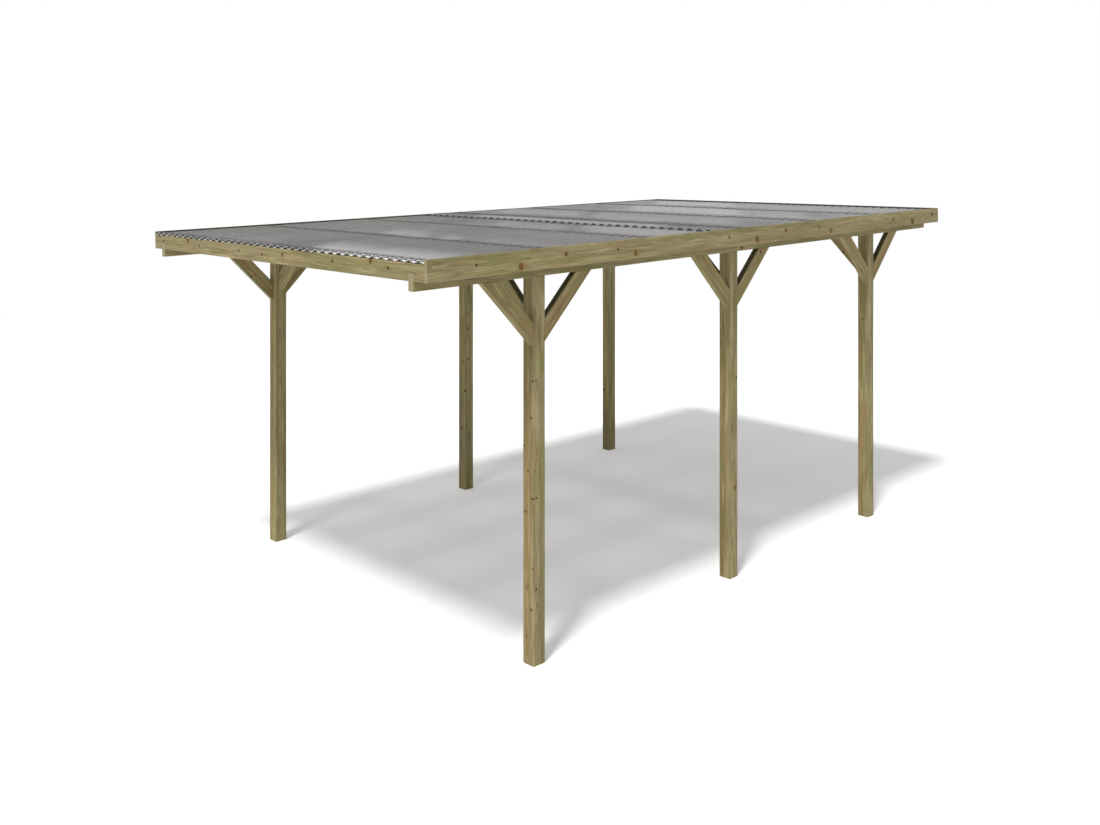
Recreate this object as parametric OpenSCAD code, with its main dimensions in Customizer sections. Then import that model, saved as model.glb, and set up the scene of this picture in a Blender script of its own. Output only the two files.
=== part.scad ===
// Single carport: six square posts, two side beams, seven rafters notched over
// the beams, mitred head braces, three fascias and clear corrugated sheets.
// The ground is z = 0, the front faces -y, and the roof falls towards the front.

/* [Roof] */
// Width over the outer faces of the two side fascias
roof_w = 3140; // [3000:10:3600]
// Length of the side fascias, measured along the fall
roof_l = 5550; // [4900:10:6400]
// Fall of the roof towards the front, in degrees
roof_fall = 1; // [0.5:0.1:3]
// Height of the beam undersides above the ground at mid length
beam_height = 2250; // [1900:10:2800]

/* [Posts] */
// Width of the square posts
post_w = 90; // [80:1:120]
// Distance of the posts' outer faces inside the outer faces of the side fascias
side_overhang = 110; // [60:5:300]
// Distance of the front posts behind the front ends of the side fascias
front_overhang = 850; // [450:10:1200]
// Distance of the rear posts in front of the rear ends of the side fascias
rear_overhang = 900; // [500:10:1200]

/* [Timber] */
// Thickness of the two side beams
beam_t = 45; // [38:1:60]
// Depth of the two side beams
beam_d = 95; // [80:1:140]
// Distance of the beams' rear ends from the rear fascia
beam_setback = 20; // [0:1:25]
// Thickness of the rafters
rafter_t = 45; // [38:1:60]
// Depth of the rafters
rafter_d = 95; // [85:1:140]
// Depth of the notch where a rafter sits over a beam
rafter_notch = 43; // [20:1:60]
// Thickness of the fascias
fascia_t = 20; // [16:1:30]
// Depth of the fascias
fascia_d = 120; // [118:1:160]
// Chamfer along the planed edges of every timber
arris_w = 3; // [1:0.5:6]

/* [Braces] */
// Thickness of the head braces
brace_t = 45; // [38:1:60]
// Depth of the head braces
brace_d = 95; // [60:1:110]
// Angle between a head brace and its post, in degrees
brace_angle = 45; // [38:1:52]
// Reach of a side brace along its beam
side_reach = 385; // [280:5:560]
// Reach of a cross brace along its rafter
cross_reach = 375; // [280:5:560]

/* [Roof sheets] */
// Height of the waves, from valley to crest
wave_h = 16.5; // [8:0.5:20]
// Thickness of a sheet
sheet_t = 1.5; // [0.8:0.1:2]
// Number of sheets in each row
sheets_across = 4; // [3:1:5]
// Number of waves in one sheet
sheet_waves = 11; // [8:1:14]
// Number of waves that neighbouring sheets share
lap_waves = 2; // [1:1:3]
// Length over which the rear row lies on the front row
row_lap = 360; // [200:10:800]
// Clearance between the outer sheets and the fascias
sheet_gap = 5; // [2:1:20]

/* [Hidden] */
ends = ["front", "middle", "rear"];
sides = ["left", "right"];
ways = ["fore", "aft"];
rafter_names = [
    "front", "front_post", "front_bay", "middle_post", "rear_bay", "rear_post", "rear"
];
rows = ["front", "rear"];
timber_colour = [0.60, 0.55, 0.40];
sheet_colour = [0.58, 0.59, 0.61, 0.7];

// Straight pieces that stand in for each wave of a sheet
wave_steps = 8;
// Length by which cuts run past what they cut
overrun = 2;

// Faces of the right-hand side, measured from the middle of the roof
post_out = roof_w / 2 - side_overhang;
post_in = post_out - post_w;
beam_in = post_out - beam_t;

// Lengths of the timbers inside the fascias
rafter_l = roof_w - 2 * fascia_t;
beam_l = roof_l - fascia_t - beam_setback;

// Places of the posts' centres along each side
front_post_y = front_overhang + (post_w - roof_l) / 2;
rear_post_y = (roof_l - post_w) / 2 - rear_overhang;
post_pitch = (rear_post_y - front_post_y) / 2;

// Heights above the beam undersides, square to the roof
rafter_z = beam_d - rafter_notch;
sheet_z = rafter_z + rafter_d;

// The sloping roof is centred over the origin by this shift
roof_shift = (rafter_z + fascia_d / 2) * sin(roof_fall);

// Lengths from which the timbers are cut
post_raw_l = beam_height + roof_l * tan(roof_fall) + beam_d;
brace_back = brace_d / tan(brace_angle) + overrun;
brace_raw_l = brace_back + max(side_reach, cross_reach) / sin(brace_angle) + brace_d;
brace_rise = brace_d / sin(brace_angle);

total_waves = sheets_across * (sheet_waves - lap_waves) + lap_waves;
wave_pitch = (rafter_l - 2 * sheet_gap) / total_waves;

// Place of a post's centre along the side
function post_y(e) = front_post_y + e * post_pitch;

// Height of a plane parallel to the roof over a place on the ground
function roof_height(z, y) = beam_height + z / cos(roof_fall) + (y - roof_shift) * tan(roof_fall);

// Place along the fall of the rafter whose underside is centred over a post
function over_post(e) = (post_y(e) - roof_shift + rafter_z * sin(roof_fall)) / cos(roof_fall);

rafter_places = [
    (rafter_t - roof_l) / 2,
    over_post(0),
    (over_post(0) + over_post(1)) / 2,
    over_post(1),
    (over_post(1) + over_post(2)) / 2,
    over_post(2),
    (roof_l - rafter_t) / 2 - fascia_t
];

// Rear ends of the two rows of sheets, over the middle rafter and at the rear fascia
row_ends = [over_post(1) + rafter_t / 2, roof_l / 2 - fascia_t - sheet_gap];
// Front ends of the two rows; the rear row lies over the end of the front row
row_starts = [-roof_l / 2, row_ends[0] - row_lap];

// Height of a sheet's underside at one of its steps
function wave(i) = wave_h / 2 * (1 - cos(360 * i / wave_steps));

function post_name(e, s) = str(ends[e], "_", sides[s], "_post");
function beam_name(s) = str(sides[s], "_beam");
function rafter_name(i) = str(rafter_names[i], "_rafter");
function fascia_name(s) = str(sides[s], "_fascia");
function side_brace_name(e, s, w) = str(ends[e], "_", sides[s], "_", ways[w], "_brace");
function cross_brace_name(e, s) = str(ends[e], "_", sides[s], "_cross_brace");
function sheet_name(r, c) = str(rows[r], "_sheet_", c + 1);

// Planed timber along z with chamfered edges
module timber(w, d, l) {
    linear_extrude(height = l)
        polygon([
            [arris_w, 0], [w - arris_w, 0], [w, arris_w], [w, d - arris_w],
            [w - arris_w, d], [arris_w, d], [0, d - arris_w], [0, arris_w]
        ]);
}

// Children drawn for the right-hand side, mirrored for the left
module on_side(s) {
    if (s == 0)
        mirror([1, 0, 0])
            children();
    else
        children();
}

// Children drawn towards the rear, mirrored for the front
module on_way(w) {
    if (w == 0)
        mirror([0, 1, 0])
            children();
    else
        children();
}

// Children drawn along the fall, with the beam undersides at z = 0
module on_roof() {
    translate([0, roof_shift, beam_height])
        rotate([roof_fall, 0, 0])
            children();
}

// Everything above a plane parallel to the roof, outwards of a place across it
module above_roof_plane(z, x) {
    on_roof()
        translate([x, -roof_l, z])
            cube([roof_w, 2 * roof_l, post_raw_l]);
}

// Post with its outer part cut down to carry the beam and a tongue under the rafter
module post(e, s) {
    color(timber_colour)
        on_side(s)
            difference() {
                translate([post_in, post_y(e) - post_w / 2, 0])
                    timber(post_w, post_w, post_raw_l);
                above_roof_plane(0, beam_in);
                above_roof_plane(rafter_z, 0);
            }
}

// Side beam on the shoulders of three posts
module beam(s) {
    color(timber_colour)
        on_side(s)
            on_roof()
                translate([beam_in, beam_l - roof_l / 2, 0])
                    rotate([90, 0, 0])
                        timber(beam_t, beam_d, beam_l);
}

// Rafter between the fascias, notched over both beams
module rafter(i) {
    color(timber_colour)
        on_roof()
            difference() {
                translate([-rafter_l / 2, rafter_places[i] - rafter_t / 2, rafter_z])
                    rotate([90, 0, 90])
                        timber(rafter_t, rafter_d, rafter_l);
                for (x = [beam_in, -post_out])
                    translate([x, rafter_places[i] - rafter_t, rafter_z - overrun])
                        cube([beam_t, 2 * rafter_t, rafter_notch + overrun]);
            }
}

// Fascia over the rafter ends of one side
module fascia(s) {
    color(timber_colour)
        on_side(s)
            on_roof()
                translate([rafter_l / 2, roof_l / 2, rafter_z])
                    rotate([90, 0, 0])
                        timber(fascia_t, fascia_d, roof_l);
}

// Fascia against the rear rafter, between the side fascias
module rear_fascia() {
    color(timber_colour)
        on_roof()
            translate([-rafter_l / 2, roof_l / 2 - fascia_t, rafter_z])
                rotate([90, 0, 90])
                    timber(fascia_t, fascia_d, rafter_l);
}

// Slanting bar that rises along y from a post face at y = 0, lower corner at the origin
module brace_bar() {
    difference() {
        translate([0, 0, brace_rise])
            rotate([-brace_angle, 0, 0])
                translate([0, 0, -brace_back])
                    timber(brace_t, brace_d, brace_raw_l);
        translate([-overrun, -brace_raw_l, -brace_raw_l])
            cube([brace_t + 2 * overrun, brace_raw_l, 2 * brace_raw_l]);
    }
}

// Brace from a post up to the underside of its beam
module side_brace(e, s, w) {
    way = 2 * w - 1;
    face_y = post_y(e) + way * post_w / 2;
    head_z = roof_height(0, face_y + way * side_reach);
    color(timber_colour)
        on_side(s)
            difference() {
                translate([beam_in, face_y, head_z - side_reach / tan(brace_angle)])
                    on_way(w)
                        brace_bar();
                above_roof_plane(0, 0);
            }
}

// Brace from the inner face of a post up to the underside of its rafter
module cross_brace(e, s) {
    head_z = roof_height(rafter_z, post_y(e));
    color(timber_colour)
        on_side(s)
            difference() {
                translate([post_in, post_y(e) - brace_t / 2, head_z - cross_reach / tan(brace_angle)])
                    rotate([0, 0, 90])
                        brace_bar();
                above_roof_plane(rafter_z, 0);
            }
}

// Outline of a corrugated sheet, one thickness tall at every step
module sheet_outline() {
    steps = sheet_waves * wave_steps;
    run = wave_pitch / wave_steps;
    polygon(concat(
        [for (i = [0:steps]) [i * run, wave(i)]],
        [for (i = [steps:-1:0]) [i * run, wave(i) + sheet_t]]
    ));
}

// Corrugated sheet on the rafters; each second one laps over its neighbours,
// and the rear row lies on the front row
module sheet(r, c) {
    x = c * (sheet_waves - lap_waves) * wave_pitch - rafter_l / 2 + sheet_gap;
    layers = 2 * r + c % 2;
    color(sheet_colour)
        on_roof()
            translate([x, row_ends[r], sheet_z + layers * sheet_t])
                rotate([90, 0, 0])
                    linear_extrude(height = row_ends[r] - row_starts[r])
                        sheet_outline();
}

for (e = [0:2], s = [0:1])
    post(e, s);
for (s = [0:1])
    beam(s);
for (i = [0:6])
    rafter(i);
for (s = [0:1])
    fascia(s);
rear_fascia();
for (e = [0:2], s = [0:1], w = [0:1])
    side_brace(e, s, w);
for (e = [0:2], s = [0:1])
    cross_brace(e, s);
for (r = [0:1], c = [0:sheets_across - 1])
    sheet(r, c);
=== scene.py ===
import math
import random

import bpy
from mathutils import Matrix, Vector


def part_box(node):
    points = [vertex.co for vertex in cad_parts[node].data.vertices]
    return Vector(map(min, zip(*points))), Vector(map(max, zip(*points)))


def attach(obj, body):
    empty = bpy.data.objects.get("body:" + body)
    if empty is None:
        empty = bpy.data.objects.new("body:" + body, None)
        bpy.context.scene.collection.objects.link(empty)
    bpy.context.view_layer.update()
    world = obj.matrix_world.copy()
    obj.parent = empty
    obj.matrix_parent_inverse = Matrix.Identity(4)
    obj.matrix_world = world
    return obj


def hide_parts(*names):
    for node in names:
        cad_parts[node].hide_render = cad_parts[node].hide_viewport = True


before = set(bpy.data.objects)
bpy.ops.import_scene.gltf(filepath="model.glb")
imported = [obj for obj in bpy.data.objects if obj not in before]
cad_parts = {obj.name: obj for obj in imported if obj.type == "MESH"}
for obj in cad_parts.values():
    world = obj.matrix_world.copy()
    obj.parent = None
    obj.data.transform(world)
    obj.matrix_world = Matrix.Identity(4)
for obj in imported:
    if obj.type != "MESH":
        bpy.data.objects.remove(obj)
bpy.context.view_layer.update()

# The photograph's frame and the camera that fits it
PHOTO_W = 1100
PHOTO_H = 825
FOCAL_PX = 1083.5
HORIZON_PX = 161.6
SENSOR_MM = 36
CAMERA_PLACE = (5.927, -6.152, 2.871)
CAMERA_YAW = 0.798

# Studio light: a soft sky, brightest overhead, and one soft sun from the front
WHITE = (1, 1, 1, 1)
SKY_HORIZON = 0.30
SKY_OVERHEAD = 0.40
SUN_TOWARDS = (0.168, -0.423, 0.890)
SUN_STRENGTH = 2.2
SUN_SPREAD = math.radians(8.5)

# Floor: lifted a little for the camera, and white outside the radius that takes the shadow
FLOOR_SIZE = 120
FLOOR_SHADE = (0.97, 0.97, 0.97, 1)
FLOOR_LIFT = 0.24
FLOOR_LIT_RADIUS = 9
FLOOR_WHITE_RADIUS = 16

# Directions of the frame
ACROSS = Vector((1, 0, 0))
REARWARDS = Vector((0, 1, 0))
UPWARDS = Vector((0, 0, 1))
ROOF_FALL = math.radians(1)
ROOF_ALONG = Vector((0, math.cos(ROOF_FALL), math.sin(ROOF_FALL)))
ROOF_UP = Vector((0, -math.sin(ROOF_FALL), math.cos(ROOF_FALL)))

# Shape of the corrugated sheets
SHEET_T = 0.0015
SHEET_CLEARANCE = 0.0003
SHEET_WAVES = 11
WAVE_STEPS = 16
LENGTH_STEPS = 6
LAP_LIFT = 0.0045
LAP_LIP_T = 0.003
LIP_T = 0.0045
LIP_REACH = 0.010
SHARP_ANGLE = math.radians(60)

# Colours and finish of the sheets
# The sheets' smoky grey, paler in the rear row partly as painted reflection
SMOKE_FRONT = (0.256, 0.251, 0.243, 1)
SMOKE_REAR = (0.312, 0.310, 0.305, 1)
# Pale grey of the painted light in the pale patches
PAINTED_LIGHT_GREY = (0.560, 0.557, 0.548, 1)
SUPPORT_SHADE = (0.055, 0.053, 0.050, 1)
# Painted highlight for the front edges and lip, and painted shade for the edges and dark marks
EDGE_BRIGHT = (0.85, 0.85, 0.85, 1)
EDGE_DARK = (0.040, 0.040, 0.042, 1)
COVER_FRONT = 0.62
COVER_REAR = 0.80
SHEET_ROUGHNESS = 0.22
PAINTED_LIGHT_ROUGHNESS = 0.25
DARK_ROUGHNESS = 0.5
SHEET_SPECULAR = 0.08
EDGE_ROUGHNESS = 0.45
EDGE_GRAIN = 400
EDGE_GRAIN_ROUGHNESS = 0.2

# Marks of painted light and shade on the sheets: where each starts and where it is full, as
# distances along the roof's fall from the lap, from the rear end or from the front edge
REAR_ROW = (0.1, 0.4)
REAR_TONE = (-0.3, 1.5)
LAP_SHADE_FRONT = (-0.060, -0.036)
LAP_SHADE_REAR = (0.014, 0.004)
REAR_SHADE = (-0.15, -0.11)
GUTTER_END = (0.11, 0.065)
BROW_FRONT = (0.022, 0.036)
BROW_REAR = (0.095, 0.065)
FRONT_END = (0.065, 0.040)
LIP_END = (0.026, 0.018)
EDGE_FRONT = (0.02, 0.01)

# Heights over the valleys between which painted marks on the front waves end
GUTTER_TOP = (0.0145, 0.0175)
LIP_TOP = (0.010, 0.015)
EDGE_TOP = (0.007, 0.013)

# Places across the roof between which marks change towards the right-hand end, how far a face
# looks down where it counts as underside, and the strength of each mark
NEAR_SIDE = (0.35, 0.75)
UNDERSIDE = (0.0, -0.1)
LAP_SHADE = 0.8
DARK_STRENGTH = 0.9
BROW_STRENGTH = 0.35
BROW_NEAR = 0.2
UNDER_LIP = 0.6
UNDER_LIP_NEAR = 0.4
CREST_SHADE = 0.55
CREST_SHADE_NEAR = 0.40

# Painted shade in lines over the rafters: distance from a rafter's middle where a line starts
# and is full, its strength, and how much stronger, wider and further forward it is in the rear row
SUPPORT_LINE = (0.070, 0.018)
SUPPORT_STRENGTH = 0.64
SUPPORT_STRONGER = 0.36
SUPPORT_WIDER = 0.28
SUPPORT_FORWARD = 0.035

# Painted light in pale clouds behind each rafter, and streaks down the fall: features a metre
# across and along the roof, and strength
PAINTED_LIGHT_BEHIND = (0.62, 0.08)
PAINTED_LIGHT_SCALE = (0.9, 1.1, 0)
PAINTED_LIGHT_EDGE = (0.42, 0.66)
PAINTED_LIGHT_STRENGTH = 0.18
FALL_STREAK_SCALE = (26, 0.9, 0)
FALL_STREAK_SEED = 3.0
FALL_STREAK_STRENGTH = 0.2
ROOF_DETAIL = 3.0

# Patches of painted light, pale, and painted shade, dark, on the sheets, slanting across the roof:
# slanted place of the left and right edge, place along the roof of the front and rear edge, softness at
# the rear, strength
ROOF_PATCHES = [
    (0.66, 1.62, 2.06, 2.56, 0.18, 0.85),
    (1.62, 4.00, 2.06, 2.56, 0.18, 0.22),
    (0.40, 1.62, 1.10, 1.84, 0.14, 0.80),
    (1.70, 2.20, 1.10, 1.60, 0.30, 0.25),
    (-3.00, 0.15, 1.06, 1.56, 0.40, -0.32),
    (2.28, 2.46, 1.16, 1.84, 0.08, -0.32),
    (-1.10, 1.45, 0.20, 0.52, 0.45, 0.46),
    (-0.10, 0.06, 0.16, 0.92, 0.08, -0.50),
    (1.55, 3.00, 0.20, 0.62, 0.30, -0.25),
    (-3.00, 3.00, -0.08, 0.06, 0.08, -0.34),
    (-1.20, 0.80, -0.30, -0.17, 0.08, 1.00),
    (-3.00, -1.25, -0.22, 0.00, 0.05, -0.30),
    (0.88, 3.00, -0.22, 0.02, 0.05, -0.20),
    (-3.00, -1.05, -0.82, -0.40, 0.10, -0.14),
    (0.10, 3.00, -0.86, -0.36, 0.08, 0.58),
    (-0.80, -0.06, -0.86, -0.50, 0.20, 0.36),
    (-0.40, 3.00, -1.40, -1.00, 0.20, 0.12),
    (-1.60, -1.16, -1.84, -1.64, 0.36, 0.85),
    (-0.99, -0.84, -1.84, -1.66, 0.20, 0.65),
    (-0.60, 3.00, -1.84, -1.60, 0.30, 0.25),
    (-1.75, 3.00, -2.78, -2.54, 0.32, 1.40),
    (-2.25, -1.88, -2.66, -2.34, 0.20, -0.14),
]
PATCH_SLANT = 0.80
PATCH_SOFT = 0.12

# Planed edges of the timbers
ARRIS_ROUND = 0.0012
ARRIS_SEGMENTS = 2
ARRIS_ANGLE = math.radians(30)
FLAT_ANGLE = math.radians(0.5)
WELD_GAP = 0.00005

# Colours of treated pine
SAPWOOD = (0.385, 0.330, 0.172, 1)
HEARTWOOD = (0.350, 0.258, 0.112, 1)
OLIVE = (0.292, 0.281, 0.110, 1)
PALE = (0.528, 0.435, 0.226, 1)
BROWN = (0.314, 0.215, 0.086, 1)
LATEWOOD = (0.182, 0.116, 0.044, 1)
# Colour of sawn ends: end grain, paler as a painted highlight
END_GRAIN_HIGHLIGHT = (0.473, 0.424, 0.259, 1)
RESIN = (0.352, 0.206, 0.066, 1)
LIVE_KNOT = (0.190, 0.090, 0.027, 1)
DEAD_KNOT = (0.054, 0.036, 0.016, 1)
# Dark brown of the painted shade on the fascias round the sheets and on the braces' upper faces
PAINTED_SHADE = (0.042, 0.037, 0.018, 1)

# Tints in the pine, one over the other: colour, features a metre along and across the grain,
# step from the timber's seed, detail, where in the noise the tint starts and is full, strength
PINE_TINTS = [
    (OLIVE, 2.6, 26, 5.0, 3.0, (0.44, 0.62), 0.85),
    (PALE, 3.2, 42, 8.0, 3.0, (0.50, 0.68), 0.75),
    (BROWN, 4.5, 38, 9.0, 4.0, (0.52, 0.70), 0.55),
]
DARK_STREAK = (0.50, 0.70)
DARK_STREAK_STRENGTH = 0.6
FIBRE_TONE = 0.3
CLOUD_TONE = 0.6
END_FACING = (0.75, 0.95)
END_STRENGTH = 0.6

# Finish of the pine
PINE_ROUGHNESS = 0.66
PINE_SPECULAR = 0.2
BUMP_STRENGTH = 0.35
BUMP_HEIGHT = 0.0006

# Tones of timbers that are darker or paler than the rest, and how strongly the grain streaks
TONES = {
    "front_right_post": 0.98, "middle_right_post": 0.97, "front_left_post": 1.09,
    # The beams' lower tone is painted shade under the fascias
    "right_fascia": 0.97, "left_beam": 0.92, "right_beam": 0.92,
}
TONE_SPREAD = (0.96, 1.04)
SEED_STEP = 3.7
BOARD_STREAK = 0.6
POST_STREAK = 1.15

# Painted shade on the fascias round the sheets, and on the braces' upper faces
SHADE_STRIP = 0.028
SHADE_FADE = 0.004
SHADE_FACING = (0.4, 0.8)
TOP_SHADE = {"left_fascia": 1.0, "right_fascia": 0.35, "rear_fascia": 1.0}
ROOF_SHADE = 0.85
SHELF_FACING = (0.45, 0.65)
SHELF_SHADE = 0.75

# Growth of the pine: rings, heartwood, and the pith's place beside a timber's middle line
RING_GAP = 0.0034
RING_WAVER = 0.004
LATE_RISE = (0.35, 0.92)
LATE_FALL = (1.0, 0.93)
LATE_STRENGTH = 0.25
LATE_SPREAD = 0.4
TAPER = 0.006
HEART_RADIUS = 0.042
HEART_FADE = 0.010
HEART_WAVER = 0.03
PITH_WANDER = 0.022
PITH_REACH = {"post": (-0.014, -0.014, 0.006), "board": (0.055, 0.0, 0.015)}
PITH_SHARE = (0.7, 1.0)

# Knots: largest and least radius, lean along the grain, and distances in radii from a knot's
# middle where its parts start and are full; the grain beside it is drawn out along the timber
KNOT_MAX = 0.020
KNOT_MIN = 0.0001
KNOT_LEAN = 0.25
KNOT_WOBBLE = 0.5
KNOT_CORE = (1.05, 0.8)
KNOT_RIM = (0.3, 0.05)
KNOT_HALO = (1.7, 0.5)
KNOT_LIFT = (2.2, 0.3)
KNOT_TAIL = 0.7
KNOT_DRAWN_OUT = 0.45

# Knots at random places: first place, spacing of the two lists and its spread, radius, how dead
# they are, and the turns that point away from a face with placed knots
WILD_FIRST = 0.05
WILD_SPACING = (0.55, 0.7)
WILD_STEP = (0.35, 1.4)
WILD_RADIUS = (0.005, 0.013)
WILD_DEAD = (0, 0.3, 0.8, 1)
ALL_TURNS = (0, 1)
AWAY_TURNS = (0.35, 0.65)

# Knots that show on the right fascia's outer face: distance from the front end,
# height over the lower edge, radius, and how dead the knot is; they repeat along the
# fascia, larger and more dead each time
FASCIA_KNOTS = [
    (0.33, 0.067, 0.008, 1.0),
    (0.65, 0.032, 0.016, 0.0),
    (1.00, 0.073, 0.013, 0.3),
    (1.44, 0.066, 0.007, 1.0),
    (1.60, 0.033, 0.013, 0.2),
]
FASCIA_REPEATS = 3
FASCIA_REPEAT = 2.22
KNOT_GROWTH = 1.12
KNOT_DEATH = 0.3

# Knots that show on the front rafter's front face: distance from the middle of the roof,
# height over the lower edge, radius, and how dead the knot is
RAFTER_KNOTS = [
    (-1.43, 0.059, 0.009, 0.8),
    (-1.06, 0.083, 0.014, 0.4),
    (-0.90, 0.055, 0.008, 0.9),
    (-0.36, 0.053, 0.009, 0.6),
    (-0.07, 0.048, 0.009, 0.7),
    (0.17, 0.059, 0.010, 0.5),
    (0.71, 0.059, 0.009, 0.8),
    (1.08, 0.086, 0.014, 0.4),
    (1.24, 0.057, 0.008, 0.9),
]

# Knots that show on the front right post's front face: height, distance from the face's
# inner edge, radius, and how dead the knot is
POST_KNOTS = [
    (0.157, 0.030, 0.006, 0.4),
    (0.320, 0.070, 0.006, 0.7),
    (0.435, 0.030, 0.005, 0.3),
    (0.556, 0.086, 0.005, 0.3),
    (0.870, 0.022, 0.007, 0.8),
    (0.954, 0.082, 0.006, 0.9),
    (1.106, 0.042, 0.006, 0.3),
    (1.246, 0.008, 0.007, 0.5),
    (1.412, 0.070, 0.006, 0.9),
    (1.530, 0.030, 0.005, 0.2),
    (1.622, 0.078, 0.005, 0.9),
]

# Knots on that post's outer face: height, distance from the front edge, radius, and how
# dead the knot is
POST_OUTER_KNOTS = [
    (0.438, 0.020, 0.006, 0.9),
    (0.957, 0.020, 0.006, 1.0),
    (1.108, 0.008, 0.005, 0.4),
    (1.176, 0.020, 0.004, 0.3),
    (1.624, 0.018, 0.005, 1.0),
]


class Wire:
    """An output socket that plain arithmetic builds on."""

    def __init__(self, graph, socket):
        self.graph = graph
        self.socket = socket

    def __add__(self, other):
        return self.graph.math("ADD", self, other)

    def __sub__(self, other):
        return self.graph.math("SUBTRACT", self, other)

    def __rsub__(self, other):
        return self.graph.math("SUBTRACT", other, self)

    def __mul__(self, other):
        return self.graph.math("MULTIPLY", self, other)

    def __truediv__(self, other):
        return self.graph.math("DIVIDE", self, other)

    __radd__ = __add__
    __rmul__ = __mul__


class Graph:
    """Short calls for the nodes of one tree."""

    def __init__(self, tree):
        self.tree = tree

    def node(self, kind, settings=None, inputs=None):
        node = self.tree.nodes.new("ShaderNode" + kind)
        for key, value in (settings or {}).items():
            setattr(node, key, value)
        for key, value in (inputs or {}).items():
            self.feed(node.inputs[key], value)
        return node

    def feed(self, socket, value):
        if isinstance(value, Wire):
            self.tree.links.new(value.socket, socket)
        else:
            socket.default_value = value

    def wire(self, node, output=0):
        return Wire(self, node.outputs[output])

    def math(self, operation, *values):
        node = self.node("Math", {"operation": operation}, dict(enumerate(values)))
        return self.wire(node)

    def largest(self, first, *others):
        for other in others:
            first = self.math("MAXIMUM", first, other)
        return first

    def hypot(self, first, second):
        return self.math("SQRT", first * first + second * second)

    def step(self, value, low, high):
        """Smooth rise from 0 at low to 1 at high; a low above high falls instead."""
        start, end, at_start, at_end = (low, high, 0, 1) if low < high else (high, low, 1, 0)
        return self.wire(self.node("MapRange", {"interpolation_type": "SMOOTHSTEP"}, {
            "Value": value, "From Min": start, "From Max": end, "To Min": at_start, "To Max": at_end,
        }))

    def mix(self, factor, first, second):
        settings = {"data_type": "RGBA", "clamp_factor": True}
        node = self.node("Mix", settings, {0: factor, 6: first, 7: second})
        return self.wire(node, 2)

    def shade(self, colour, value):
        """The colour made lighter or darker by a value around 1."""
        node = self.node("VectorMath", {"operation": "SCALE"}, {0: colour, "Scale": value})
        return self.wire(node)

    def split(self, vector):
        node = self.node("SeparateXYZ", inputs={0: vector})
        return [self.wire(node, i) for i in range(3)]

    def dot(self, vector, direction):
        node = self.node("VectorMath", {"operation": "DOT_PRODUCT"}, {0: vector, 1: direction})
        return self.wire(node, "Value")

    def scaled(self, vector, scale):
        node = self.node("VectorMath", {"operation": "MULTIPLY"}, {0: vector, 1: scale})
        return self.wire(node)

    def noise(self, vector, scale, seed=0.0, detail=2.0):
        """Noise around 0.5, with its own number of features a metre along each direction."""
        node = self.node("TexNoise", {"noise_dimensions": "4D"}, {
            "Vector": self.scaled(vector, scale), "W": seed, "Scale": 1.0, "Detail": detail,
        })
        return self.wire(node)

    def place(self):
        """Position in the object's own frame."""
        return self.wire(self.node("TexCoord"), "Object")

    def facing(self):
        """Surface direction in the object's own frame."""
        return self.wire(self.node("TexCoord"), "Normal")


SOCKET_KINDS = {"vector": "NodeSocketVector", "colour": "NodeSocketColor", "value": "NodeSocketFloat"}


def new_group(name, inputs, outputs):
    """A node group's graph, its inputs as wires and its output sockets."""
    tree = bpy.data.node_groups.new(name, "ShaderNodeTree")
    for label, kind in inputs.items():
        tree.interface.new_socket(label, in_out="INPUT", socket_type=SOCKET_KINDS[kind])
    for label, kind in outputs.items():
        tree.interface.new_socket(label, in_out="OUTPUT", socket_type=SOCKET_KINDS[kind])
    graph = Graph(tree)
    given = tree.nodes.new("NodeGroupInput")
    result = tree.nodes.new("NodeGroupOutput")
    return graph, {label: graph.wire(given, label) for label in inputs}, result.inputs


def new_material(name):
    """A material, its graph and its shader."""
    material = bpy.data.materials.new(name)
    material.use_nodes = True
    return material, Graph(material.node_tree), material.node_tree.nodes["Principled BSDF"]


def make_knot_group():
    """One branch that grows out of the pith: how far a place is inside it or near it."""
    graph, given, result = new_group(
        "knot",
        {"Place": "vector", "Knot": "colour", "Length": "value", "Wobble": "value"},
        {"Core": "value", "Rim": "value", "Halo": "value", "Lift": "value"},
    )
    along, side, up = graph.split(given["Place"])
    radius = graph.hypot(side, up)
    turn = graph.math("ARCTAN2", up, side) / math.tau
    knot_along, knot_turn, knot_size = graph.split(given["Knot"])
    size = graph.largest(knot_size * KNOT_MAX, KNOT_MIN)
    off_along = along - knot_along * given["Length"] - radius * KNOT_LEAN
    off_round = (graph.math("FRACT", turn - knot_turn + 1.0) - 0.5) * radius * math.tau
    distance = graph.hypot(off_along, off_round) / size + given["Wobble"]
    tail_along = (off_along - size * KNOT_TAIL) * KNOT_DRAWN_OUT
    drawn_out = graph.hypot(tail_along, off_round) / size + given["Wobble"]
    graph.feed(result["Core"], graph.step(distance, *KNOT_CORE))
    graph.feed(result["Rim"], graph.step(graph.math("ABSOLUTE", distance - 1.0), *KNOT_RIM))
    graph.feed(result["Halo"], graph.step(drawn_out, *KNOT_HALO))
    graph.feed(result["Lift"], graph.step(drawn_out, *KNOT_LIFT) * size)
    return graph.tree


class Grain:
    """Noise drawn out along the grain of a timber, each kind with its own step from the seed."""

    def __init__(self, graph, place, seed):
        self.graph = graph
        self.place = place
        self.seed = seed

    def noise(self, along, across, step, detail=2.0):
        """Noise around 0.5, with its number of features a metre along and across the grain."""
        return self.graph.noise(self.place, (along, across, across), self.seed + step, detail)

    def waver(self, along, across, step):
        """The same around 0."""
        return self.noise(along, across, step) - 0.5


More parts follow.
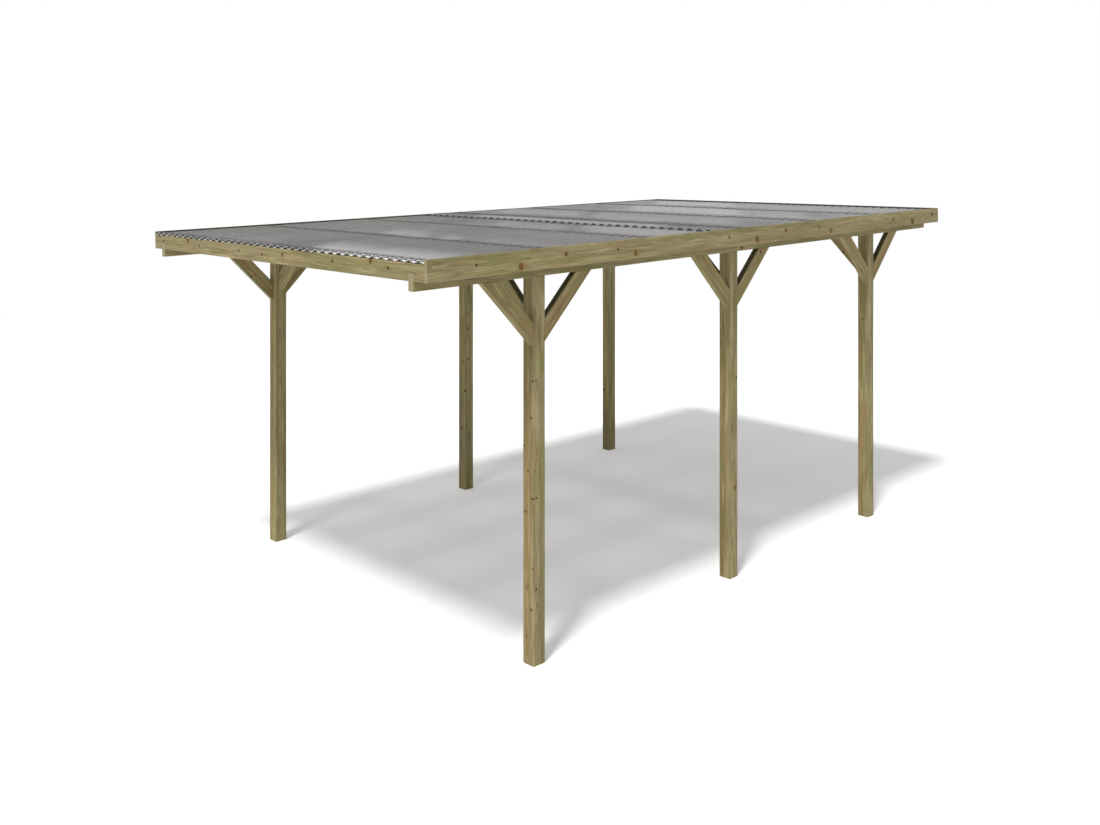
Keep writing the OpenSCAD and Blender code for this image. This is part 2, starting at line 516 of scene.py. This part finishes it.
def year_rings(grain, lifts):
    """Rings round a pith that wanders along the log: radius, share of late wood, the ring's tone."""
    graph = grain.graph
    along, side, up = graph.split(grain.place)
    wander_side = grain.waver(1.3, 0, 0.0) * PITH_WANDER * 2
    wander_up = grain.waver(1.1, 0, 7.0) * PITH_WANDER * 2
    radius = graph.hypot(side - wander_side, up - wander_up)
    grown = radius + along * TAPER + grain.waver(3, 40, 3.0) * RING_WAVER
    for lift in lifts:
        grown = grown + lift
    rings = grown / RING_GAP
    within = graph.math("FRACT", rings)
    late = graph.step(within, *LATE_RISE) * graph.step(within, *LATE_FALL)
    tone = graph.node("TexWhiteNoise", {"noise_dimensions": "1D"}, {"W": graph.math("FLOOR", rings)})
    return radius, late, graph.wire(tone)


def clear_wood(grain, radius, late, ring_tone, streak):
    """Colour from heart to bark with tints and streaks along the grain, its fibres and dark streaks."""
    graph = grain.graph
    heart_edge = radius + grain.waver(2, 25, 11.0) * HEART_WAVER
    sap = graph.step(heart_edge, HEART_RADIUS - HEART_FADE, HEART_RADIUS + HEART_FADE)
    colour = graph.mix(sap, HEARTWOOD, SAPWOOD)
    for tint, along, across, step, detail, reach, strength in PINE_TINTS:
        patch = graph.step(grain.noise(along, across, step, detail), *reach)
        colour = graph.mix(patch * strength, colour, tint)
    colour = graph.mix(late * (ring_tone * LATE_SPREAD + LATE_STRENGTH), colour, LATEWOOD)
    dark_streak = graph.step(grain.noise(7, 130, 2.0, detail=4.0), *DARK_STREAK)
    colour = graph.mix(dark_streak * DARK_STREAK_STRENGTH, colour, LATEWOOD)
    fibre = grain.waver(14, 700, 4.0)
    cloud = grain.waver(1.8, 14, 6.0)
    strip = grain.waver(0.7, 48, 12.0)
    tone = 1.0 + fibre * FIBRE_TONE + cloud * CLOUD_TONE + strip * streak
    return graph.shade(colour, tone), fibre, dark_streak


def lay_knots(graph, knots, colour, height):
    """Resin beside each knot, then the branch itself and its bark, in colour and height."""
    for parts, dead in knots:
        branch = graph.mix(dead, LIVE_KNOT, DEAD_KNOT)
        colour = graph.mix(parts["Halo"] * (0.6 - dead * 0.45), colour, RESIN)
        colour = graph.mix(parts["Core"] * 0.9, colour, branch)
        colour = graph.mix(parts["Rim"] * (dead * 0.4 + 0.35), colour, DEAD_KNOT)
        height = height - parts["Rim"] * 0.8 + parts["Core"] * 0.4
    return colour, height


def make_pine_group(knot_group):
    """Pine cut from a log: rings round the pith, fibres along it, knots and green tint."""
    graph, given, result = new_group(
        "pine",
        {
            "Place": "vector", "Along": "vector", "Length": "value", "Seed": "value",
            "Tone": "value", "Streak": "value", "Painted Shade": "value",
            "Knot A": "colour", "Dead A": "value", "Knot B": "colour", "Dead B": "value",
        },
        {"Color": "colour", "Roughness": "value", "Normal": "vector"},
    )
    grain = Grain(graph, given["Place"], given["Seed"])
    wobble = grain.waver(60, 90, 0.0) * KNOT_WOBBLE

    def knot(letter):
        node = graph.node("Group", {"node_tree": knot_group}, {
            "Place": given["Place"], "Knot": given["Knot " + letter],
            "Length": given["Length"], "Wobble": wobble,
        })
        return {label: graph.wire(node, label) for label in ("Core", "Rim", "Halo", "Lift")}

    knots = [(knot(letter), given["Dead " + letter]) for letter in "AB"]
    radius, late, ring_tone = year_rings(grain, [parts["Lift"] for parts, _ in knots])
    colour, fibre, dark_streak = clear_wood(grain, radius, late, ring_tone, given["Streak"])
    colour, height = lay_knots(graph, knots, colour, late * 0.5 + fibre * 0.6)

    # Sawn ends are greyer than planed faces, and painted paler as a painted highlight
    endwise = graph.math("ABSOLUTE", graph.dot(graph.facing(), given["Along"]))
    colour = graph.mix(graph.step(endwise, *END_FACING) * END_STRENGTH, colour, END_GRAIN_HIGHLIGHT)
    colour = graph.shade(colour, given["Tone"])
    # Painted shade darkens the colour on the fascias by the sheets and on the braces' upper faces
    colour = graph.mix(given["Painted Shade"], colour, PAINTED_SHADE)
    bump = graph.node("Bump", inputs={
        "Strength": BUMP_STRENGTH, "Distance": BUMP_HEIGHT, "Height": height,
    })
    graph.feed(result["Color"], colour)
    graph.feed(result["Roughness"], PINE_ROUGHNESS - dark_streak * 0.1 + fibre * 0.2)
    graph.feed(result["Normal"], graph.wire(bump))
    return graph.tree


def knot_ramp(graph, along, knots, length):
    """The nearest knot of a list, looked up by the place along the timber."""
    node = graph.node("ValToRGB", inputs={0: along / length})
    ramp = node.color_ramp
    ramp.interpolation = "CONSTANT"
    ramp.elements.remove(ramp.elements[1])
    knots = sorted(knots)
    for i, (start, turn, size, dead) in enumerate(knots):
        between = (knots[i - 1][0] + start) / 2 / length if i else 0
        stop = ramp.elements.new(between) if i else ramp.elements[0]
        stop.color = (start / length, turn, size / KNOT_MAX, dead)
    return graph.wire(node, "Color"), graph.wire(node, "Alpha")


class Board:
    """A timber in its own frame: along the grain, across its first side and its second."""

    def __init__(self, name):
        self.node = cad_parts[name]
        self.along, self.side = timber_axes(name)
        self.up = self.along.cross(self.side)
        self.axes = Matrix((self.along, self.side, self.up))
        places = [self.axes @ vertex.co for vertex in self.node.data.vertices]
        self.low = Vector(min(p[i] for p in places) for i in range(3))
        self.high = Vector(max(p[i] for p in places) for i in range(3))
        self.size = self.high - self.low

    def centre_line(self):
        """Start of the timber's middle line, in its own frame."""
        return Vector((self.low.x, (self.low.y + self.high.y) / 2, (self.low.z + self.high.z) / 2))

    def seat_pith(self, offset_side, offset_up):
        self.pith = self.centre_line() + Vector((0, offset_side, offset_up))

    def knot_at(self, along, side, up, radius, dead):
        """A knot that meets the surface at a place measured from the middle line's start."""
        off = self.centre_line() + Vector((along, side, up)) - self.pith
        reach = math.hypot(off.y, off.z)
        turn = math.atan2(off.z, off.y) / math.tau + 0.5
        return (max(off.x - reach * KNOT_LEAN, 0), turn, radius, dead)

    def wild_knots(self, chance, spacing, turns):
        """Knots at random places along the timber, pointing between two turns."""
        knots = []
        along = chance.uniform(WILD_FIRST, spacing)
        while along < self.size.x:
            turn = chance.uniform(*turns) % 1
            knots.append((along, turn, chance.uniform(*WILD_RADIUS), chance.choice(WILD_DEAD)))
            along += chance.uniform(*WILD_STEP) * spacing
        return knots


def timber_axes(name):
    """Direction of a timber's grain and of its first side."""
    if name.endswith("_post"):
        return UPWARDS, ACROSS
    if name.endswith("_rafter") or name == "rear_fascia":
        return ACROSS, ROOF_ALONG
    if name.endswith(("_beam", "_fascia")):
        return ROOF_ALONG, -ACROSS
    if name.endswith("_cross_brace"):
        inwards = ACROSS if "_left_" in name else -ACROSS
        return (UPWARDS + inwards).normalized(), REARWARDS
    way = -REARWARDS if "_fore_" in name else REARWARDS
    return (UPWARDS + way).normalized(), ACROSS


def fascia_knots(board):
    """The fascia's knots, repeated along it."""
    low_side, low_up = -board.size.y / 2, -board.size.z / 2
    knots = []
    for i in range(FASCIA_REPEATS):
        for start, up, radius, dead in FASCIA_KNOTS:
            along = i * FASCIA_REPEAT + start
            if along < board.size.x:
                grown, deader = radius * KNOT_GROWTH ** i, max(dead, i * KNOT_DEATH)
                knots.append(board.knot_at(along, low_side, low_up + up, grown, deader))
    return knots


def shown_knots(board, name):
    """Knots placed as they show, or none where the timber's knots don't show."""
    low_side, low_up = -board.size.y / 2, -board.size.z / 2
    if name == "right_fascia":
        return fascia_knots(board)
    if name == "front_rafter":
        return [
            board.knot_at(u + board.size.x / 2, low_side, low_up + up, radius, dead)
            for u, up, radius, dead in RAFTER_KNOTS
        ]
    if name == "front_right_post":
        return [
            board.knot_at(u, low_side + side, low_up, radius, dead)
            for u, side, radius, dead in POST_KNOTS
        ]
    return []


def corner_knots(board, name):
    """Knots on the outer face of a post whose front face is placed too."""
    if name != "front_right_post":
        return []
    low_up = -board.size.z / 2
    return [
        board.knot_at(u, board.size.y / 2, low_up + back, radius, dead)
        for u, back, radius, dead in POST_OUTER_KNOTS
    ]


def painted_roof_shade(graph, name, board):
    """Painted shade on a fascia's top and on the strip of its inner face that stands over the sheets.
    """
    inwards = {"left_fascia": ACROSS, "right_fascia": -ACROSS, "rear_fascia": -ROOF_ALONG}[name]
    lowest = board.high.z - SHADE_STRIP
    above = graph.step(graph.dot(graph.place(), ROOF_UP), lowest, lowest + SHADE_FADE)
    inner = graph.step(graph.dot(graph.facing(), inwards), *SHADE_FACING) * above
    top = graph.step(graph.dot(graph.facing(), ROOF_UP), *SHADE_FACING) * TOP_SHADE[name]
    return graph.largest(inner, top) * ROOF_SHADE


def painted_shelf_shade(graph):
    """Painted shade on faces that look up under the roof."""
    facing = graph.split(graph.facing())[2]
    return graph.step(facing, *SHELF_FACING) * SHELF_SHADE


def pine_material(board, name, seed, pine_group):
    """Pine of one timber, with its own pith, knots and tone."""
    chance = random.Random(seed)
    side, up, spread = PITH_REACH["post" if name.endswith("_post") else "board"]
    board.seat_pith(chance.uniform(*PITH_SHARE) * side, up + chance.uniform(-1, 1) * spread)
    placed = shown_knots(board, name)
    turns = AWAY_TURNS if placed else ALL_TURNS
    first = placed or board.wild_knots(chance, WILD_SPACING[0], ALL_TURNS)
    second = corner_knots(board, name) or board.wild_knots(chance, WILD_SPACING[1], turns)
    material, graph, shader = new_material("pine_" + name)
    mapping = graph.node("Mapping", {"vector_type": "TEXTURE"}, {
        "Vector": graph.place(),
        "Location": board.axes.transposed() @ board.pith,
        "Rotation": board.axes.transposed().to_euler(),
    })
    place = graph.wire(mapping)
    along = graph.split(place)[0]
    knot_a, dead_a = knot_ramp(graph, along, first, board.size.x)
    knot_b, dead_b = knot_ramp(graph, along, second, board.size.x)
    pine = graph.node("Group", {"node_tree": pine_group}, {
        "Place": place, "Along": board.along, "Length": board.size.x, "Seed": seed * SEED_STEP,
        "Tone": TONES.get(name, chance.uniform(*TONE_SPREAD)),
        "Streak": POST_STREAK if name.endswith(("_post", "_brace")) else BOARD_STREAK,
        "Knot A": knot_a, "Dead A": dead_a, "Knot B": knot_b, "Dead B": dead_b,
    })
    # Painted shade on the fascias round the sheets and on the braces' upper faces
    if name.endswith("_fascia"):
        graph.feed(pine.inputs["Painted Shade"], painted_roof_shade(graph, name, board))
    if name.endswith("_brace"):
        graph.feed(pine.inputs["Painted Shade"], painted_shelf_shade(graph))
    shader.inputs["Specular IOR Level"].default_value = PINE_SPECULAR
    for label, socket in (("Color", "Base Color"), ("Roughness", "Roughness"), ("Normal", "Normal")):
        graph.feed(shader.inputs[socket], graph.wire(pine, label))
    return material


def round_arrises(node):
    """The planed edges of a timber, rounded over the chamfers of its solid."""
    node.modifiers.new("weld", "WELD").merge_threshold = WELD_GAP
    flat = node.modifiers.new("flat", "DECIMATE")
    flat.decimate_type = "DISSOLVE"
    flat.angle_limit = FLAT_ANGLE
    arris = node.modifiers.new("arris", "BEVEL")
    arris.width = ARRIS_ROUND
    arris.segments = ARRIS_SEGMENTS
    arris.limit_method = "ANGLE"
    arris.angle_limit = ARRIS_ANGLE
    node.modifiers.new("shading", "WEIGHTED_NORMAL")


def dress_timbers():
    pine_group = make_pine_group(make_knot_group())
    timbers = sorted(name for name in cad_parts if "_sheet_" not in name)
    for seed, name in enumerate(timbers, start=1):
        board = Board(name)
        material = pine_material(board, name, seed, pine_group)
        for slot in board.node.material_slots:
            slot.material = material
        round_arrises(board.node)


def run_of(name, corner):
    """Distance along the roof's fall of a node's low or high corner."""
    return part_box(name)[corner].dot(ROOF_ALONG)


def support_spacing():
    """Where the rafters touch the sheets: the first one over a post, and the bay between two."""
    first = sum(run_of("front_post_rafter", corner) for corner in (0, 1)) / 2
    last = sum(run_of("rear_post_rafter", corner) for corner in (0, 1)) / 2
    return first, (last - first) / 4


class RoofPlace:
    """A place on the roof in a sheet's material: along the fall, across it and over the valleys."""

    front = run_of("front_sheet_1", 0)
    lap = run_of("rear_sheet_1", 0)
    rear = run_of("rear_sheet_1", 1)
    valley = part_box("front_rafter")[1].dot(ROOF_UP)

    def __init__(self, graph):
        self.graph = graph
        self.place = graph.place()
        self.run = graph.dot(self.place, ROOF_ALONG)
        self.near = graph.step(graph.split(self.place)[0], *NEAR_SIDE)

    def behind(self, edge, reach):
        """Change between two distances along the fall from an edge."""
        return self.graph.step(self.run, edge + reach[0], edge + reach[1])

    def above(self, reach):
        """Rise between two heights over the valleys of the front sheets."""
        height = self.graph.dot(self.place, ROOF_UP)
        return self.graph.step(height, self.valley + reach[0], self.valley + reach[1])


def support_marks(roof, rear_row):
    """Painted shade in lines over the rafters, and the stretch behind each that takes painted light."""
    graph = roof.graph
    first, bay = support_spacing()
    within = graph.math("FRACT", (roof.run + rear_row * SUPPORT_FORWARD - first) / bay)
    off_support = graph.math("PINGPONG", within, 0.5) * bay
    line = graph.step(off_support * (1.0 - rear_row * SUPPORT_WIDER), *SUPPORT_LINE)
    return line * (rear_row * SUPPORT_STRONGER + SUPPORT_STRENGTH), graph.step(within, *PAINTED_LIGHT_BEHIND)


def roof_patches(roof):
    """How much painted light, above 0, or painted shade, below 0, the patches put on a place on the
    roof.
    """
    graph = roof.graph
    across, along, _ = graph.split(roof.place)
    slanted = across + along * PATCH_SLANT
    tone = 0.0
    for left, right, front, rear, rear_soft, strength in ROOF_PATCHES:
        inside = graph.step(slanted, left - PATCH_SOFT, left + PATCH_SOFT)
        inside = inside * graph.step(slanted, right + PATCH_SOFT, right - PATCH_SOFT)
        inside = inside * graph.step(along, front - PATCH_SOFT, front + PATCH_SOFT)
        inside = inside * graph.step(along, rear + rear_soft, rear - rear_soft)
        tone = inside * strength + tone
    return tone


def roof_tone(roof, behind_line):
    """The patches with pale clouds of painted light behind the rafters and streaks down the fall over
    them.
    """
    graph = roof.graph
    painted_light_cloud = graph.step(graph.noise(roof.place, PAINTED_LIGHT_SCALE, detail=ROOF_DETAIL), *PAINTED_LIGHT_EDGE)
    fall_streaks = graph.noise(roof.place, FALL_STREAK_SCALE, FALL_STREAK_SEED, ROOF_DETAIL) - 0.5
    return roof_patches(roof) + painted_light_cloud * behind_line * PAINTED_LIGHT_STRENGTH + fall_streaks * FALL_STREAK_STRENGTH


def dark_marks(roof, underside):
    """Painted shade at the lap, at the rear end, in the valleys' front ends and behind the front lip.
    """
    graph = roof.graph
    at_lap = roof.behind(roof.lap, LAP_SHADE_FRONT) * roof.behind(roof.lap, LAP_SHADE_REAR)
    at_rear = roof.behind(roof.rear, REAR_SHADE)
    gutter = roof.behind(roof.front, GUTTER_END) * (1.0 - roof.above(GUTTER_TOP)) * (1.0 - underside)
    brow = roof.behind(roof.front, BROW_FRONT) * roof.behind(roof.front, BROW_REAR)
    brow = brow * (roof.near * BROW_NEAR + BROW_STRENGTH)
    return graph.largest(at_lap * LAP_SHADE, at_rear, gutter, brow)


def bright_marks(roof, underside, front_end):
    """Painted highlight on the front lip towards the right-hand end, and painted light under the front
    end.
    """
    lip = roof.behind(roof.front, LIP_END) * (1.0 - roof.above(LIP_TOP)) * roof.near
    under_lip = front_end * underside * (roof.near * UNDER_LIP_NEAR + UNDER_LIP)
    return roof.graph.largest(lip, under_lip)


def sheet_material():
    """Smoky plastic with painted light and shade in patches, and the rafters' lines painted on as
    shade.
    """
    material, graph, shader = new_material("smoky_sheet")
    roof = RoofPlace(graph)
    rearwards = roof.behind(roof.lap, REAR_TONE)
    line, behind_line = support_marks(roof, roof.behind(roof.lap, REAR_ROW))
    tone = roof_tone(roof, behind_line)
    # Painted light in the pale patches and painted shade in the dark ones, over smoke paler towards the
    # rear partly as painted reflection
    painted_light_patch = graph.largest(tone, 0.0)
    painted_shade_patch = graph.largest(tone * -1.0, 0.0)
    colour = graph.mix(painted_light_patch, graph.mix(rearwards, SMOKE_FRONT, SMOKE_REAR), PAINTED_LIGHT_GREY)
    colour = graph.mix(painted_shade_patch, colour, SUPPORT_SHADE)
    # Painted shade in lines over the rafters
    colour = graph.mix(line, colour, SUPPORT_SHADE)
    underside = graph.step(graph.split(graph.facing())[2], *UNDERSIDE)
    front_end = roof.behind(roof.front, FRONT_END)
    # Painted shade at the lap, the rear end and the front of the valleys
    dark = dark_marks(roof, underside)
    colour = graph.mix(dark * DARK_STRENGTH, colour, EDGE_DARK)
    colour = graph.mix(bright_marks(roof, underside, front_end), colour, EDGE_BRIGHT)
    graph.feed(shader.inputs["Base Color"], colour)
    roughness = SHEET_ROUGHNESS + painted_light_patch * PAINTED_LIGHT_ROUGHNESS + dark * DARK_ROUGHNESS
    graph.feed(shader.inputs["Roughness"], roughness)
    cover = rearwards * (COVER_REAR - COVER_FRONT) + COVER_FRONT
    graph.feed(shader.inputs["Alpha"], graph.largest(front_end, dark, cover))
    shader.inputs["Specular IOR Level"].default_value = SHEET_SPECULAR
    return material


def edge_material():
    """Sawn edge of a sheet: a painted highlight at the front, and painted shade in the laps."""
    material, graph, shader = new_material("sheet_edge")
    roof = RoofPlace(graph)
    grain = graph.noise(roof.place, (EDGE_GRAIN, EDGE_GRAIN, EDGE_GRAIN))
    at_front = roof.behind(roof.front, EDGE_FRONT)
    shaded = roof.above(EDGE_TOP) * (CREST_SHADE - roof.near * CREST_SHADE_NEAR)
    # Painted highlight on the front edges, less over the crests as painted shade, and painted shade
    # elsewhere
    colour = graph.mix(at_front * (1.0 - shaded), EDGE_DARK, EDGE_BRIGHT)
    graph.feed(shader.inputs["Base Color"], colour)
    graph.feed(shader.inputs["Roughness"], EDGE_ROUGHNESS + grain * EDGE_GRAIN_ROUGHNESS)
    return material


def sheet_size(low, high):
    """Length along the fall and height square to it of a sheet in its box."""
    cosine, sine = math.cos(ROOF_FALL), math.sin(ROOF_FALL)
    run, rise = high.y - low.y, high.z - low.z
    square = cosine ** 2 - sine ** 2
    return (cosine * run - sine * rise) / square, (cosine * rise - sine * run) / square


def run_stations(length):
    """Places along a sheet where its section is drawn: the lip at the front, then even steps."""
    step = (length - LIP_REACH) / LENGTH_STEPS
    return [0] + [LIP_REACH + row * step for row in range(LENGTH_STEPS + 1)]


def sheet_grid(low, high, lap_lift, lip_t):
    """Rows of places across the sheet, first of its underside and then of its top."""
    length, height = sheet_size(low, high)
    wave_h = height - SHEET_T
    start = Vector((low.x, low.y + height * math.sin(ROOF_FALL), low.z))
    steps = SHEET_WAVES * WAVE_STEPS
    for skin, lip in ((SHEET_CLEARANCE, SHEET_CLEARANCE), (SHEET_T, lip_t)):
        for run in run_stations(length):
            lift = lap_lift * (1 - run / length) + (skin if run else lip)
            for i in range(steps + 1):
                rise = wave_h / 2 * (1 - math.cos(math.tau * i / WAVE_STEPS)) + lift
                across = ACROSS * ((high.x - low.x) * i / steps)
                yield start + across + ROOF_ALONG * run + ROOF_UP * rise


def sheet_faces():
    """Faces of the underside, the top and the four edges, and how many are not edges."""
    wide = SHEET_WAVES * WAVE_STEPS + 1
    long = LENGTH_STEPS + 2
    top = wide * long
    cells = [(row * wide + i) for row in range(long - 1) for i in range(wide - 1)]
    faces = [(c, c + wide, c + wide + 1, c + 1) for c in cells]
    faces += [(c + top, c + 1 + top, c + wide + 1 + top, c + wide + top) for c in cells]
    skins = len(faces)
    front = list(range(wide))
    right = [row * wide + wide - 1 for row in range(long)]
    rear = [top - 1 - i for i in range(wide)]
    left = [(long - 1 - row) * wide for row in range(long)]
    for side in (front, right, rear, left):
        faces += [(a, b, b + top, a + top) for a, b in zip(side, side[1:])]
    return faces, skins


def make_sheet(name, materials):
    """A corrugated sheet with true round waves in place of the CAD one."""
    mesh = bpy.data.meshes.new("clear_" + name)
    faces, skins = sheet_faces()
    lap_lift, lip_t = (LAP_LIFT, LAP_LIP_T) if name.startswith("rear_") else (0, LIP_T)
    mesh.from_pydata(list(sheet_grid(*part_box(name), lap_lift, lip_t)), [], faces)
    for material in materials:
        mesh.materials.append(material)
    for face in mesh.polygons[skins:]:
        face.material_index = 1
    mesh.shade_smooth()
    mesh.set_sharp_from_angle(angle=SHARP_ANGLE)
    piece = bpy.data.objects.new("clear_" + name, mesh)
    bpy.context.scene.collection.objects.link(piece)
    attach(piece, "root")
    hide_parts(name)


def make_sheets():
    materials = [sheet_material(), edge_material()]
    for name in sorted(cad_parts):
        if "_sheet_" in name:
            make_sheet(name, materials)


def make_camera():
    data = bpy.data.cameras.new("camera")
    data.sensor_width = SENSOR_MM
    data.lens = FOCAL_PX * SENSOR_MM / PHOTO_W
    data.shift_y = (HORIZON_PX - PHOTO_H / 2) / PHOTO_W
    camera = bpy.data.objects.new("camera", data)
    camera.location = CAMERA_PLACE
    camera.rotation_euler = (math.pi / 2, 0, CAMERA_YAW)
    bpy.context.scene.collection.objects.link(camera)
    bpy.context.scene.camera = camera


def make_sun():
    data = bpy.data.lights.new("sun", "SUN")
    data.energy = SUN_STRENGTH
    data.angle = SUN_SPREAD
    sun = bpy.data.objects.new("sun", data)
    sun.rotation_euler = Vector(SUN_TOWARDS).to_track_quat("Z", "Y").to_euler()
    bpy.context.scene.collection.objects.link(sun)


def make_world():
    """White behind the object and in its reflections, a soft sky as light."""
    world = bpy.data.worlds.new("studio")
    world.use_nodes = True
    graph = Graph(world.node_tree)
    path = graph.node("LightPath")
    rays = ("Is Camera Ray", "Is Glossy Ray", "Is Transmission Ray")
    seen = graph.largest(*(graph.wire(path, ray) for ray in rays))
    up = graph.split(graph.wire(graph.node("TexCoord"), "Generated"))[2]
    up = graph.largest(up, 0.0)
    sky = up * up * (SKY_OVERHEAD - SKY_HORIZON) + SKY_HORIZON
    background = world.node_tree.nodes["Background"]
    background.inputs["Color"].default_value = WHITE
    graph.feed(background.inputs["Strength"], seen + (1.0 - seen) * sky)
    bpy.context.scene.world = world


def floor_material():
    """Matt and pale, and pure white far out."""
    material, graph, shader = new_material("pale_floor")
    shader.inputs["Base Color"].default_value = FLOOR_SHADE
    shader.inputs["Roughness"].default_value = 1
    shader.inputs["Specular IOR Level"].default_value = 0
    shader.inputs["Emission Color"].default_value = WHITE
    lift = graph.wire(graph.node("LightPath"), "Is Camera Ray") * FLOOR_LIFT
    graph.feed(shader.inputs["Emission Strength"], lift)
    side, along, _ = graph.split(graph.place())
    far = graph.step(graph.hypot(side, along), FLOOR_LIT_RADIUS, FLOOR_WHITE_RADIUS)
    white = graph.node("Emission", inputs={"Color": WHITE, "Strength": 1.0})
    blend = graph.node("MixShader", inputs={0: far, 1: graph.wire(shader), 2: graph.wire(white)})
    output = material.node_tree.nodes["Material Output"]
    graph.feed(output.inputs["Surface"], graph.wire(blend))
    return material


def make_floor():
    """Pale floor that takes the shadow and runs out into the white background."""
    half = FLOOR_SIZE / 2
    corners = [(-half, -half, 0), (half, -half, 0), (half, half, 0), (-half, half, 0)]
    mesh = bpy.data.meshes.new("floor")
    mesh.from_pydata(corners, [], [(0, 1, 2, 3)])
    mesh.materials.append(floor_material())
    floor = bpy.data.objects.new("floor", mesh)
    bpy.context.scene.collection.objects.link(floor)


make_camera()
make_world()
make_sun()
make_floor()
dress_timbers()
make_sheets()
bpy.context.scene.view_settings.view_transform = "Standard"
